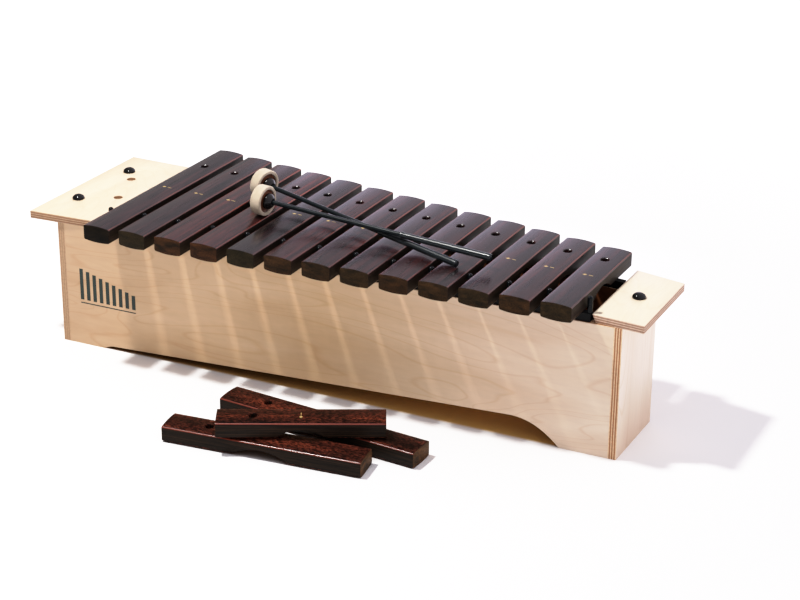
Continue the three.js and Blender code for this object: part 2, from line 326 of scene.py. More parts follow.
def rosewood(name, warmth, seed):
    """Dark tonewood along local Y. warmth runs from 0, near black, to 1, reddish."""
    material, tree, shader = new_finish(name, Specular_IOR_Level=0.42)
    coords = object_coords(tree)
    place = (seed, seed * 2.3, seed * 0.6)
    broad = streaked(tree, coords, (150, 5.5, 150), place, 4.0, 0.6, 0.5)
    dark = (0.005 + 0.004 * warmth, 0.0038, 0.0040)
    mid = (0.013 + 0.016 * warmth, 0.0070 + 0.001 * warmth, 0.0080)
    light = (0.028 + 0.052 * warmth, 0.0110 + 0.003 * warmth, 0.0115)
    base = ramp(tree, broad, [(0.32, dark), (0.52, mid), (0.74, light)])
    fine = streaked(tree, coords, (520, 26, 520), place, 4.0, 0.65)
    base = shaded(tree, 0.75, base, ramp(tree, fine, [(0.38, 0.22), (0.60, 1.45)]))
    tree.links.new(between(tree, fine, 0.34, 0.16), shader.inputs["Roughness"])
    dress(tree, shader, base, fine, 0.00006)
    return material


def rosewood_end(name, warmth, seed, strength):
    """End grain: dark, dull and finely speckled. strength scales how light it is."""
    material, tree, shader = new_finish(name, Roughness=0.6, Specular_IOR_Level=0.06)
    coords = object_coords(tree)
    place = (seed * 1.7, seed, seed * 0.4)
    growth = streaked(tree, coords, (60, 60, 190), place, 3.0, 0.6, 0.6)
    dark = tuple(strength * value for value in (0.010 + 0.006 * warmth, 0.0085, 0.0045))
    bright = (0.034 + 0.046 * warmth, 0.025 + 0.006 * warmth, 0.0115)
    light = tuple(strength * value for value in bright)
    base = ramp(tree, growth, [(0.30, dark), (0.72, light)])
    pores = streaked(tree, coords, (900, 900, 900), place, 2.0, 0.7)
    base = shaded(tree, 0.7, base, ramp(tree, pores, [(0.36, 0.4), (0.58, 1.1)]))
    dress(tree, shader, base, pores, 0.00006)
    return material


def edge_highlight(name, warmth):
    """The rounded long edges of a bar's top: a painted highlight, lighter and redder than the top,
    and glossier.
    """
    material, tree, shader = new_finish(name, Roughness=0.24, Specular_IOR_Level=0.6)
    streaks = streaked(tree, object_coords(tree), (300, 12, 300), UNSHIFTED, 3.0, 0.6)
    low = (0.030 + 0.030 * warmth, 0.009, 0.007)
    high = (0.090 + 0.100 * warmth, 0.022 + 0.010 * warmth, 0.014)
    tree.links.new(ramp(tree, streaks, [(0.35, low), (0.65, high)]), shader.inputs["Base Color"])
    return material


def exchange_rosewood(name, seed, glow):
    """The unmounted bars' wood: red-brown, densely flecked with dark pores along local Y. glow
    scales how light it is."""
    material, tree, shader = new_finish(name, Specular_IOR_Level=0.05)
    coords = object_coords(tree)
    place = (seed, seed * 1.9, seed * 0.8)
    broad = streaked(tree, coords, (60, 9, 60), place, 3.0, 0.6, 0.4)
    dark = (0.011 * glow, 0.0040 * glow, 0.0030 * glow)
    mid = (0.044 * glow, 0.0120 * glow, 0.0075 * glow)
    light = (0.110 * glow, 0.027 * glow, 0.014 * glow)
    base = ramp(tree, broad, [(0.30, dark), (0.50, mid), (0.72, light)])
    flecks = streaked(tree, coords, (900, 290, 900), place, 3.0, 0.6, 0.8)
    fleck_shade = ramp(tree, flecks, [(0.44, 0.06), (0.50, 0.5), (0.58, 2.1)])
    base = shaded(tree, 0.9, base, fleck_shade)
    tree.links.new(between(tree, flecks, 0.5, 0.25), shader.inputs["Roughness"])
    dress(tree, shader, base, flecks, 0.00006)
    return material


def side_painted_darker(name, seed, specular):
    """A bar's long sides: painted shade, darker than its top, and plainer."""
    material, tree, shader = new_finish(name, Roughness=0.5, Specular_IOR_Level=specular)
    place = (seed, seed * 1.9, seed * 0.8)
    grain = streaked(tree, object_coords(tree), (500, 16, 900), place, 4.0, 0.65, 0.3)
    dark, mid, light = (0.005, 0.0035, 0.0022), (0.015, 0.0095, 0.006), (0.034, 0.018, 0.010)
    base = ramp(tree, grain, [(0.34, dark), (0.52, mid), (0.70, light)])
    dress(tree, shader, base, grain, 0.00004)
    return material


GLOSS_GRAIN = 60
RUBBER_GRAIN = 600
SLEEVE_GRAIN = 900


def moulded(name, color, roughness, grain, relief, specular):
    """Moulded plastic or rubber. grain is its waves or pits to the metre, relief their depth in
    metres."""
    material, tree, shader = new_finish(name, Specular_IOR_Level=specular)
    coords = object_coords(tree)
    pits = noise(tree, coords, grain, 2.0, 0.6)
    low = tuple(channel * 0.75 for channel in color)
    high = tuple(channel * 1.25 for channel in color)
    base = ramp(tree, pits, [(0.3, low), (0.7, high)])
    rough = between(tree, pits, roughness * 0.85, roughness * 1.15)
    tree.links.new(rough, shader.inputs["Roughness"])
    dress(tree, shader, base, pits, relief)
    return material


def felt_finish(name):
    material, tree, shader = new_finish(
        name, Roughness=0.9, Specular_IOR_Level=0.15, Sheen_Weight=0.35, Sheen_Roughness=0.5
    )
    coords = object_coords(tree)
    cloud = noise(tree, coords, 120, 4.0, 0.6)
    fuzz = noise(tree, coords, 1500, 3.0, 0.7)
    base = ramp(tree, cloud, [(0.3, (0.44, 0.355, 0.255)), (0.7, (0.59, 0.49, 0.375))])
    base = shaded(tree, 0.5, base, ramp(tree, fuzz, [(0.3, 0.8), (0.6, 1.0)]))
    dress(tree, shader, base, fuzz, 0.00025)
    return material


def turned_wood(name):
    """The mallet core: brown hardwood with streaks along local Y."""
    material, tree, shader = new_finish(name, Roughness=0.38, Specular_IOR_Level=0.4)
    coords = object_coords(tree)
    streaks = streaked(tree, coords, (260, 30, 260), UNSHIFTED, 4.0, 0.6, 0.5)
    base = ramp(tree, streaks, [(0.3, (0.055, 0.018, 0.008)), (0.7, (0.18, 0.062, 0.026))])
    dress(tree, shader, base, streaks, 0.00008)
    return material


def speckled(name, scale, stops, **sockets):
    """A thin layer of one colour, finely speckled."""
    material, tree, shader = new_finish(name, **sockets)
    speckle = noise(tree, object_coords(tree), scale, 2.0, 0.6)
    tree.links.new(ramp(tree, speckle, stops), shader.inputs["Base Color"])
    return material


def gold_paint(name):
    worn = [(0.30, (0.24, 0.15, 0.06)), (0.50, (0.66, 0.48, 0.20))]
    return speckled(name, 1400, worn, Metallic=0.55, Roughness=0.42)


def printed_ink(name):
    ink = [(0.3, (0.012, 0.020, 0.017)), (0.7, (0.026, 0.040, 0.034))]
    return speckled(name, 1200, ink, Roughness=0.55, Specular_IOR_Level=0.3)


def under_box(tree, coords):
    """How far inside the box's footprint a point of the floor is, in metres."""
    x, y, _ = axes_of(tree, coords)
    slope = (box_half_at(BOX_RIGHT) - box_half_at(BOX_LEFT)) / (BOX_RIGHT - BOX_LEFT)
    at_zero = box_half_at(0) * MM - slope * ORIGIN.x
    half = computed(tree, "ADD", computed(tree, "MULTIPLY", x, slope), at_zero)
    aside = computed(tree, "ABSOLUTE", computed(tree, "SUBTRACT", y, ORIGIN.y))
    inside = computed(tree, "SUBTRACT", half, aside)
    from_left = computed(tree, "SUBTRACT", x, ORIGIN.x + BOX_LEFT * MM)
    from_right = computed(tree, "SUBTRACT", ORIGIN.x + BOX_RIGHT * MM, x)
    return computed(tree, "MINIMUM", inside, computed(tree, "MINIMUM", from_left, from_right))


# How far the painted contact shade on the floor reaches, in metres.
CONTACT_SHADE_REACH = 0.03
GLOW_REACH = 2.0


def floor_finish(name):
    """White paper with painted shade: brown beneath the box, and dark wherever a part stands close
    over it, as beneath the loose bars. Away from the object it glows a little, as if lamps
    stood round."""
    material, tree, shader = new_finish(name, Roughness=0.9, Specular_IOR_Level=0.1)
    coords = object_coords(tree)
    cloud = noise(tree, coords, 3.0, 2.0)
    shade = ramp(tree, cloud, [(0.3, (0.945, 0.945, 0.95)), (0.7, (0.955, 0.955, 0.96))])
    # Painted shade: the paper beneath the box coloured brown.
    painted_box_shade = ramp(tree, under_box(tree, coords), [(0.0, (1, 1, 1)), (0.004, (0.64, 0.41, 0.145))])
    # Painted shade: the paper darkened where a part stands close over it.
    near = tree.nodes.new("ShaderNodeAmbientOcclusion")
    near.inputs["Distance"].default_value = CONTACT_SHADE_REACH
    painted_contact_shade = ramp(tree, near.outputs["AO"], [(0.15, (0.20, 0.13, 0.09)), (0.48, (1, 1, 1))])
    shade = shaded(tree, 1.0, shade, painted_contact_shade)
    tree.links.new(shaded(tree, 1.0, shade, painted_box_shade), shader.inputs["Base Color"])
    away = tree.nodes.new("ShaderNodeVectorMath")
    away.operation = "LENGTH"
    tree.links.new(coords, away.inputs[0])
    distance = computed(tree, "DIVIDE", away.outputs["Value"], GLOW_REACH)
    glow = ramp(tree, distance, [(0.24, 0.0), (0.42, 0.35), (1.0, 1.0)])
    tree.links.new(glow, shader.inputs["Emission Strength"])
    shader.inputs["Emission Color"].default_value = (1, 1, 1, 1)
    return material


# ---------------- mesh helpers

SHARP = math.radians(32)


def add_piece(name, made, materials, matrix=TO_ROW):
    """A new object from a bmesh. matrix takes the bmesh's units and place to the frame's metres."""
    location, rotation, scale = matrix.decompose()
    made.transform(Matrix.Diagonal((*scale, 1)))
    bmesh.ops.recalc_face_normals(made, faces=made.faces)
    for face in made.faces:
        face.smooth = True
    for edge in made.edges:
        edge.smooth = len(edge.link_faces) == 2 and edge.calc_face_angle(0) < SHARP
    mesh = bpy.data.meshes.new(name)
    made.to_mesh(mesh)
    made.free()
    for material in materials:
        mesh.materials.append(material)
    piece = bpy.data.objects.new(name, mesh)
    bpy.context.scene.collection.objects.link(piece)
    piece.matrix_world = Matrix.Translation(location) @ rotation.to_matrix().to_4x4()
    return piece


def stand_for(piece, body, node):
    """The piece moves with body and is shown in place of the CAD's node."""
    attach(piece, body)
    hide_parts(node)


def curve(start, control, end, steps):
    """Points on a quadratic curve, its first point left out."""
    points = []
    for step in range(1, steps + 1):
        t = step / steps
        a, b, c = (1 - t) ** 2, 2 * t * (1 - t), t * t
        x = a * start[0] + b * control[0] + c * end[0]
        y = a * start[1] + b * control[1] + c * end[1]
        points.append((x, y))
    return points


def prism(outline, lower, upper):
    """A closed solid whose two ends are lower(point) and upper(point) of each outline point."""
    made = bmesh.new()
    below = [made.verts.new(lower(*point)) for point in outline]
    above = [made.verts.new(upper(*point)) for point in outline]
    made.faces.new(list(reversed(below)))
    made.faces.new(above)
    for i, vertex in enumerate(below):
        j = (i + 1) % len(below)
        made.faces.new((vertex, below[j], above[j], above[i]))
    return made


def slab(outline, bottom, top):
    return prism(outline, lambda x, y: (x, y, bottom), lambda x, y: (x, y, top))


def soften(made, width, segments=2):
    """Bevels every sharp edge."""
    sharp = [edge for edge in made.edges if edge.calc_face_angle(0) > SHARP]
    bmesh.ops.bevel(
        made, geom=sharp, offset=width, segments=segments, profile=0.5, affect="EDGES",
        clamp_overlap=True,
    )
    return made


def revolved(profile, steps=48):
    """profile is (radius, height) pairs around local Z. Radius 0 closes an end; otherwise the
    profile closes on itself."""
    made = bmesh.new()
    closed = profile[0][0] > 0
    rings = []
    for radius, height in profile:
        if radius == 0:
            rings.append([made.verts.new((0, 0, height))])
            continue
        turn = [2 * math.pi * step / steps for step in range(steps)]
        circle = [(radius * math.cos(a), radius * math.sin(a), height) for a in turn]
        rings.append([made.verts.new(point) for point in circle])
    pairs = list(zip(rings, rings[1:] + rings[:1]))
    for first, second in pairs if closed else pairs[:-1]:
        for step in range(steps):
            after = (step + 1) % steps
            corners = [first[step % len(first)], first[after % len(first)]]
            corners += [second[after % len(second)], second[step % len(second)]]
            corners = [v for i, v in enumerate(corners) if v not in corners[:i]]
            made.faces.new(corners)
    return made


def dome(centre, reach, rise, steps):
    """Points on a quarter of an ellipse in (radius, height) space, from its side to its top, or
    to its bottom if rise is negative."""
    angles = [math.pi / 2 * step / steps for step in range(steps + 1)]
    return [(centre[0] + reach * math.cos(a), centre[1] + rise * math.sin(a)) for a in angles]


def moved(made, x, y):
    bmesh.ops.translate(made, verts=made.verts, vec=(x, y, 0))
    return made


def joined(parts):
    """One bmesh that holds several separate ones."""
    whole = bmesh.new()
    for part in parts:
        scratch = bpy.data.meshes.new("scratch")
        part.to_mesh(scratch)
        part.free()
        whole.from_mesh(scratch)
        bpy.data.meshes.remove(scratch)
    return whole


def carved(made, cutter):
    """made without cutter's volume."""
    pair = []
    for source in (made, cutter):
        bmesh.ops.recalc_face_normals(source, faces=source.faces)
        mesh = bpy.data.meshes.new("scratch")
        source.to_mesh(mesh)
        source.free()
        thing = bpy.data.objects.new("scratch", mesh)
        bpy.context.scene.collection.objects.link(thing)
        pair.append(thing)
    body, tool = pair
    modifier = body.modifiers.new("cut", "BOOLEAN")
    modifier.operation = "DIFFERENCE"
    modifier.solver = "EXACT"
    modifier.object = tool
    shown = body.evaluated_get(bpy.context.evaluated_depsgraph_get())
    result = bmesh.new()
    result.from_mesh(shown.to_mesh())
    shown.to_mesh_clear()
    for thing in pair:
        mesh = thing.data
        bpy.data.objects.remove(thing)
        bpy.data.meshes.remove(mesh)
    bmesh.ops.remove_doubles(result, verts=result.verts, dist=1e-4)
    return result


HOLE_STEPS = 40


def drill(radius, x, y, bottom, top):
    """The cutter for an upright round hole."""
    profile = [(0, bottom), (radius, bottom), (radius, top), (0, top)]
    return moved(revolved(profile, HOLE_STEPS), x, y)


# ---------------- resonator box

CUT_START = -262
CUT_LOW = (-250, 3.8)
CUT_HIGH = (178, 23.2)
CUT_END = 228.5
CUT_BEND = CUT_HIGH[0] + 27
CUT_SLOPE = (CUT_HIGH[1] - CUT_LOW[1]) / (CUT_HIGH[0] - CUT_LOW[0])
BOARD_EDGE = 0.45
# Seed and figure of the painted shade on the box's inside faces.
INNER_SHADE_SEED = 9.0
INNER_SHADE_FIGURE = 0.5
FACE_SHARE = 0.75  # of a board's thickness direction in a face's normal, above which it is veneer

PLAIN_LOOKS = {
    "pale": (0.75, 0.565, 0.385),
    "tan": (0.63, 0.435, 0.265),
    "figure": 1.0,
    "light_and_shade_tones": None,
    "light": (0.75, 0.54, 0.35),
    "dark": (0.36, 0.16, 0.07),
    "inside": 0,
    # Painted shade: the darker reddish-brown of the box's inside faces.
    "inner_shade": ((0.15, 0.058, 0.026), (0.085, 0.033, 0.015)),
    "inner_shade_tones": None,
}
# Front board: painted shade towards the bass end, painted light, paler and bluer, at the treble end.
FRONT_LOOKS = {"light_and_shade_tones": ((0.70, 0.64, 0.58), (0.94, 0.87, 0.76), (1.03, 1.13, 1.36))}
REAR_LOOKS = {
    # Rear board's inside: painted shade, deepest from the bass end to the middle, paler at the treble
    # end.
    "inner_shade": ((0.25, 0.095, 0.040), (0.15, 0.056, 0.023)),
    "inner_shade_tones": ((0.3, 0.3, 0.3), (0.3, 0.3, 0.3), (1.6, 1.5, 1.4)),
}
# Bass end board: ply edges painted darker, as painted shade.
BASS_END_LOOKS = {"inside": 1, "light": (0.46, 0.30, 0.18), "dark": (0.35, 0.21, 0.12)}
TREBLE_END_LOOKS = {
    "inside": -1,
    "pale": (0.80, 0.70, 0.60),
    "tan": (0.71, 0.59, 0.48),
    # Painted shade: the treble end board darker towards the floor.
    "light_and_shade_tones": ((0.78, 0.68, 0.58), (0.95, 0.94, 0.93), (1, 1, 1)),
}
CHAMBER_LOOKS = {"inside": 1, "pale": (0.66, 0.40, 0.14), "tan": (0.54, 0.30, 0.09)}


def cut_height_at(x):
    return CUT_LOW[1] + CUT_SLOPE * (x - CUT_LOW[0])


def board(name, made, through, thickness, grain, node, slot, seed, looks):
    """A plywood board: veneer on its two faces, layers on its edges. through is the direction of
    its thickness. looks["inside"] is 1 or -1 to give the face on that side of through the painted
    shade of the box's inside, or 0."""
    looks = {**PLAIN_LOOKS, **looks}
    through = Vector(through).normalized()
    start = min(through.dot(vertex.co) for vertex in made.verts)
    start_in_frame = start * MM + ORIGIN.dot(through)
    soften(made, BOARD_EDGE)
    bmesh.ops.recalc_face_normals(made, faces=made.faces)
    for face in made.faces:
        facing = face.normal.dot(through)
        face.material_index = 0 if abs(facing) > FACE_SHARE else 1
        if abs(facing) > FACE_SHARE and facing * looks["inside"] > 0:
            face.material_index = 2
    colors = (looks["pale"], looks["tan"])
    veneer = birch_veneer(name + "_veneer", *colors, grain, seed, looks["figure"], looks["light_and_shade_tones"])
    layers = (looks["light"], looks["dark"])
    edge = ply_edge(name + "_edge", through, start_in_frame, thickness * MM, *layers)
    finishes = [veneer, edge]
    if looks["inside"]:
        # The inside face gets the painted shade.
        inner_shade = (*looks["inner_shade"], grain, INNER_SHADE_SEED, INNER_SHADE_FIGURE, looks["inner_shade_tones"])
        finishes.append(birch_veneer(name + "_inner_shade", *inner_shade))
    piece = add_piece(name, in_frame(made), finishes, Matrix.Scale(MM, 4))
    stand_for(piece, "box", node)


def in_frame(made):
    """Lets a board stand at the frame's origin and have its coordinates in its material."""
    return moved(made, ORIGIN.x / MM, ORIGIN.y / MM)


def side_outline():
    points = [(INNER_LEFT, 0), (CUT_START, 0)]
    points += curve((CUT_START, 0), (CUT_START + 6, CUT_LOW[1]), CUT_LOW, 8)
    points.append(CUT_HIGH)
    points += curve(CUT_HIGH, (CUT_BEND, cut_height_at(CUT_BEND)), (CUT_END, 0), 20)
    points += [(INNER_RIGHT, 0), (INNER_RIGHT, BOX_HEIGHT), (INNER_LEFT, BOX_HEIGHT)]
    return points


def side_panel(name, side, node, seed, looks):
    """side is -1 for the front and 1 for the rear."""
    taper = (box_half_at(INNER_RIGHT) - box_half_at(INNER_LEFT)) / (INNER_RIGHT - INNER_LEFT)
    made = prism(
        side_outline(),
        lambda x, z: (x, side * box_half_at(x), z),
        lambda x, z: (x, side * (box_half_at(x) - SIDE_PLY), z),
    )
    through = (-side * taper, 1, 0)
    looks = {**looks, "inside": -side}
    board(name, made, through, SIDE_PLY, "X", node, "birch_ply", seed, looks)


def end_panel(name, x0, x1, node, seed, looks):
    corners = [(x, sign * box_half_at(x)) for x, sign in ((x0, -1), (x1, -1), (x1, 1), (x0, 1))]
    made = slab(corners, 0, BOX_HEIGHT)
    board(name, made, (1, 0, 0), x1 - x0, "Z", node, "birch_ply", seed, looks)


def resonator_floor():
    """A board that slopes with the side panels' cut-out, a little above it."""
    rise = 4
    clear = SIDE_PLY + FIT_GAP
    ends = ((INNER_LEFT, -1), (INNER_RIGHT, -1), (INNER_RIGHT, 1), (INNER_LEFT, 1))
    corners = [(x, sign * (box_half_at(x) - clear)) for x, sign in ends]
    made = prism(
        corners,
        lambda x, y: (x, y, cut_height_at(x) + rise),
        lambda x, y: (x, y, cut_height_at(x) + rise + FLOOR_PLY),
    )
    place = ((-CUT_SLOPE, 0, 1), FLOOR_PLY, "X", "resonator_floor")
    board("chamber_floor", made, *place, "birch_ply", 4.0, CHAMBER_LOOKS)


# ---------------- end plates and knobs

PLATE_UNDERCUT = 3.5
KNOB_RADIUS = 6.4
KNOB_HEIGHT = 5
KNOB_SHANK = 2
KNOB_STEPS = 14
SOCKET_RADIUS = 4.7
SOCKET_DEPTH = 6
# Bass plate: ply edges painted darker than the treble plate's, as painted shade.
BASS_PLATE_LOOKS = {
    "figure": 0.35,
    "pale": (0.69, 0.56, 0.405),
    "tan": (0.63, 0.49, 0.335),
    "light": (0.42, 0.27, 0.165),
    "dark": (0.25, 0.13, 0.07),
}
TREBLE_PLATE_LOOKS = {
    "figure": 0.35,
    "pale": (0.80, 0.69, 0.53),
    "tan": (0.74, 0.61, 0.445),
    "light": (0.64, 0.47, 0.36),
    "dark": (0.33, 0.19, 0.125),
}
BASS_PLATE = [(-341, -85), (-270, -77.5), (-270, 98), (-341, 96)]
BASS_SOCKETS = [(-284.4, -11.5), (-303.4, 38.5)]
TREBLE_PLATE = [(253.4, -41.5), (303.6, -43), (302.4, 62.5), (252.6, 70.5)]


def knob_place(node):
    spot = (middle_of(node) - ORIGIN) / MM
    return spot.x, spot.y


def plate_board(name, outline, sockets, knobs, undercut, node, seed, looks):
    """An end plate. undercut is how far its lower edge stands back on the side of the bars."""
    left = min(x for x, _ in outline)

    def lower(x, y):
        return (x + undercut if x < left + 2 else x, y, BOX_HEIGHT)

    made = prism(outline, lower, lambda x, y: (x, y, PLATE_TOP))
    soften(made, BOARD_EDGE)
    tools = [drill(SOCKET_RADIUS, x, y, PLATE_TOP - SOCKET_DEPTH, PLATE_TOP + 1) for x, y in sockets]
    bore = KNOB_SHANK + FIT_GAP
    tools += [drill(bore, *knob_place(k), BOX_HEIGHT - 1, PLATE_TOP + 1) for k in knobs]
    made = carved(made, joined(tools))
    board(name, made, (0, 0, 1), PLATE_PLY, "Y", node, "birch_plate", seed, looks)


def knob(node, material):
    skirt = 0.7
    profile = [(0, -PLATE_PLY), (KNOB_SHANK, -PLATE_PLY), (KNOB_SHANK, 0), (KNOB_RADIUS - 0.5, 0)]
    profile += [(KNOB_RADIUS, 0.35), (KNOB_RADIUS, skirt)]
    profile += dome((0, skirt), KNOB_RADIUS, KNOB_HEIGHT - skirt, KNOB_STEPS)[1:-1]
    profile.append((0, KNOB_HEIGHT))
    x, y = knob_place(node)
    spot = TO_ROW @ Matrix.Translation((x, y, PLATE_TOP))
    piece = add_piece(node + "_dome", revolved(profile), [material], spot)
    stand_for(piece, "box", node)


# ---------------- rails and pins

PIN_STEPS = 9
ROUND_PIN_STEPS = 28


def tapered_band(side, outer, inner):
    """The outline of a strip along a side panel, between two insets from the box's outer face."""
    ends = ((RAIL_LEFT, outer), (RAIL_RIGHT, outer), (RAIL_RIGHT, inner), (RAIL_LEFT, inner))
    return [(x, side * (box_half_at(x) - inset)) for x, inset in ends]


def pin(x, y, bottom, neck, top):
    """A thin shank, then a sleeve with a rounded tip."""
    profile = [(0, bottom), (SHANK_RADIUS, bottom), (SHANK_RADIUS, neck)]
    profile += [(PIN_RADIUS - 0.3, neck), (PIN_RADIUS, neck + 0.4)]
    rise = PIN_RADIUS * 0.85
    profile += dome((0, top - rise), PIN_RADIUS, rise, PIN_STEPS)[:-1]
    profile.append((0, top))
    return moved(revolved(profile, ROUND_PIN_STEPS), x, y)


def cushion_rail(name, side, bottom, holes, node, material):
    """holes are the places along x that pins pass through."""
    band = tapered_band(side, PIN_INSET - RAIL_WIDTH / 2, PIN_INSET + RAIL_WIDTH / 2)
    made = slab(band, bottom, RAIL_TOP)
    soften(made, 0.9, 3)
    bore = SHANK_RADIUS + FIT_GAP
    tools = [drill(bore, x, side * pin_row_at(x), bottom - 1, RAIL_TOP + 1) for x in holes]
    piece = add_piece(name, carved(made, joined(tools)), [material])
    stand_for(piece, "box", node)


def rear_pins(material, holes):
    """The rear pins and the thin strip that they stand on, as one piece."""
    half = 2.5
    band = tapered_band(1, PIN_INSET - half, PIN_INSET + half)
    strip = slab(band, BOX_HEIGHT, BOX_HEIGHT + STRIP_HEIGHT)
    soften(strip, 0.3)
    pins = [pin(x, pin_row_at(x), BOX_HEIGHT + 0.4, RAIL_TOP, REAR_PIN_TOP) for x in holes]
    piece = add_piece("rear_pins", joined([strip, *pins]), [material])
    stand_for(piece, "box", "rear_pin_strip")


def front_pins(material, holes):
    for index, x in enumerate(holes):
        node = "front_pin_" + str(index + 1).zfill(2)
        made = pin(x, -pin_row_at(x), BOX_HEIGHT - SHANK_DEPTH, RAIL_TOP, FRONT_PIN_TOP)
        stand_for(add_piece(node + "_sleeve", made, [material]), "box", node)


# ---------------- bars

BAR_END_ROUND = 0.35
SECTION_STEPS = 12
CORNER_STEPS = 4
ARCH_STEPS = 14
END_STEPS = 5
# Each mounted bar's own tone, from near black to reddish, bass to treble
BAR_TONES = (0.15, 0.12, 0.75, 0.85, 0.05, 0.50, 0.40, 0.30, 0.55, 0.40, 0.25, 0.50, 0.20)
BASS_BAR_END_STRENGTH = 0.3
SPARE_BAR_END_STRENGTH = 2.2
MOUNTED_SIDE_SPECULAR = 0.16
SPARE_SIDE_SPECULAR = 0.08
# Of each exchange bar: its length, its turn in degrees, its glow and its tuning depth
SPARE_BARS = {
    "spare_bar_front": (197, 8.3, 1.0, TUNING_DEPTH),
    "spare_bar_back": (212, -2.2, 1.0, SHALLOW_TUNING_DEPTH),
    "spare_bar_top": (156, 28.7, 0.85, TUNING_DEPTH),
}


def crown_at(x):
    """The height of a bar's top over its lowest line."""
    reach = BAR_WIDTH / 2 - BAR_CORNER
    rise = 1 - (x / reach) ** 2
    return BAR_BELLY + BAR_SIDE + BAR_LIP + (BAR_CROWN - BAR_LIP) * rise


def bar_section():
    """(x, z) points round a bar, from its underside's left corner."""
    half = BAR_WIDTH / 2
    reach = half - BAR_CORNER
    sag = BAR_BELLY * 0.7
    top = BAR_BELLY + BAR_SIDE
    count = SECTION_STEPS + 1
    across = [reach * (2 * step / SECTION_STEPS - 1) for step in range(count)]
    low, high = (half, BAR_BELLY + BAR_CORNER), (half, top - BAR_CORNER)
    points = [(x, sag * (x / reach) ** 2) for x in across]
    points += curve((reach, sag), (half - 0.15, sag + 0.3), low, CORNER_STEPS)
    points.append(high)
    points += curve(high, (half, top + 0.1), (reach, top + BAR_LIP), CORNER_STEPS)[:-1]
    points += [(x, crown_at(x)) for x in reversed(across)]
    mirrored = [(-x, z) for x, z in reversed(points[count:-count])]
    return points + mirrored


def arch_at(y, length, tuning_depth):
    """The height of the tuning arch over a bar's lowest line, negative beyond its ends."""
    half = length * TUNING_FRACTION / 2
    return (BAR_BELLY + tuning_depth) * (1 - (y / half) ** 2)


def bar_stations(length):
    """(y, inset) of each section, closer together over the tuning arch and at the ends."""
    half = length / 2
    arch = length * TUNING_FRACTION / 2
    inner = [arch * (step / ARCH_STEPS - 1) for step in range(2 * ARCH_STEPS + 1)]
    rounding = half - BAR_END_ROUND
    outer = [arch + (rounding - arch) * step / END_STEPS for step in range(1, END_STEPS + 1)]
    outer.insert(-1, rounding - 0.4)
    edge = [(half - BAR_END_ROUND * 0.3, BAR_END_ROUND * 0.3), (half, BAR_END_ROUND)]
    stations = [(-y, inset) for y, inset in reversed(edge)]
    stations += [(-y, 0) for y in reversed(outer)]
    stations += [(y, 0) for y in inner + outer]
    return stations + edge


def bar_mesh(length, tuning_depth):
    """A bar along local Y: its sections joined end to end, then its hole drilled and flared."""
    made = bmesh.new()
    middle = BAR_BELLY + BAR_SIDE / 2
    rings = []
    for y, inset in bar_stations(length):
        ring = []
        arch = arch_at(y, length, tuning_depth)
        for x, z in bar_section():
            narrow = x - math.copysign(min(inset, abs(x)), x)
            shallow = z - math.copysign(min(inset, abs(z - middle)), z - middle)
            ring.append(made.verts.new((narrow, y, max(shallow, arch))))
        rings.append(ring)
    for first, second in zip(rings, rings[1:]):
        for i, vertex in enumerate(first):
            j = (i + 1) % len(first)
            made.faces.new((vertex, first[j], second[j], second[i]))
    made.faces.new(list(reversed(rings[0])))
    made.faces.new(rings[-1])
    bmesh.ops.dissolve_degenerate(made, edges=made.edges, dist=1e-5)
    hole_y = NODE_FRACTION * length
    flare = 0.7
    hole = [(0, -2), (BAR_HOLE_RADIUS, -2), (BAR_HOLE_RADIUS, BAR_TOP - flare - 0.1)]
    hole += [(BAR_HOLE_RADIUS + flare + 0.6, BAR_TOP + 0.5), (0, BAR_TOP + 0.5)]
    return with_slots(carved(made, moved(revolved(hole, HOLE_STEPS), 0, hole_y)), length)


def with_slots(made, length):
    """Slot 1 for the ends, 2 for the top's long edges, 3 for the long sides, 0 for the rest."""
    made.normal_update()
    for face in made.faces:
        spot = face.calc_center_median()
        at_end = abs(spot.y) > length / 2 - BAR_END_ROUND
        at_edge = abs(spot.x) > BAR_WIDTH / 2 - BAR_CORNER and face.normal.z > 0.3
        face.material_index = 2 if at_edge else 0
        if abs(face.normal.x) > 0.9:
            face.material_index = 3
        if at_end and abs(face.normal.y) > 0.5:
            face.material_index = 1
    return made


def plain_mark():
    """A small lozenge and a short dash, in place of a bar's pitch name."""
    sunk, proud = -0.12, 0.04
    lozenge = [(-5.4, 0), (-3.0, -1.6), (-0.6, 0), (-3.0, 1.6)]
    dash = [(1.0, -0.4), (5.2, -0.4), (5.2, 0.4), (1.0, 0.4)]

    def over_top(rise):
        return lambda x, y: (x, y, crown_at(x) + rise)

    return joined([prism(outline, over_top(sunk), over_top(proud)) for outline in (lozenge, dash)])


def mark_bar(node, gold, spot):
    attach(add_piece(node + "_mark", plain_mark(), [gold], spot), node)


def bar_spot(node):
    """The middle of the CAD bar's underside."""
    middle = middle_of(node)
    return Matrix.Translation((middle.x, middle.y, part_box(node)[0].z))


def mounted_bars(gold):
    for index, tone in enumerate(BAR_TONES):
        node = "bar_" + str(index + 1).zfill(2)
        length = bar_length_at(bar_x(index))
        spot = bar_spot(node) @ Matrix.Scale(MM, 4)
        seed = 3.1 * index
        strength = 1.0 if index else BASS_BAR_END_STRENGTH
        finishes = [
            rosewood(node + "_wood", tone, seed),
            rosewood_end(node + "_end_grain", tone, seed, strength),
            edge_highlight(node + "_edges", tone),
            side_painted_darker(node + "_sides", seed, MOUNTED_SIDE_SPECULAR),
        ]
        piece = add_piece(node + "_blank", bar_mesh(length, TUNING_DEPTH), finishes, spot)
        stand_for(piece, node, node)
        mark_bar(node, gold, spot)


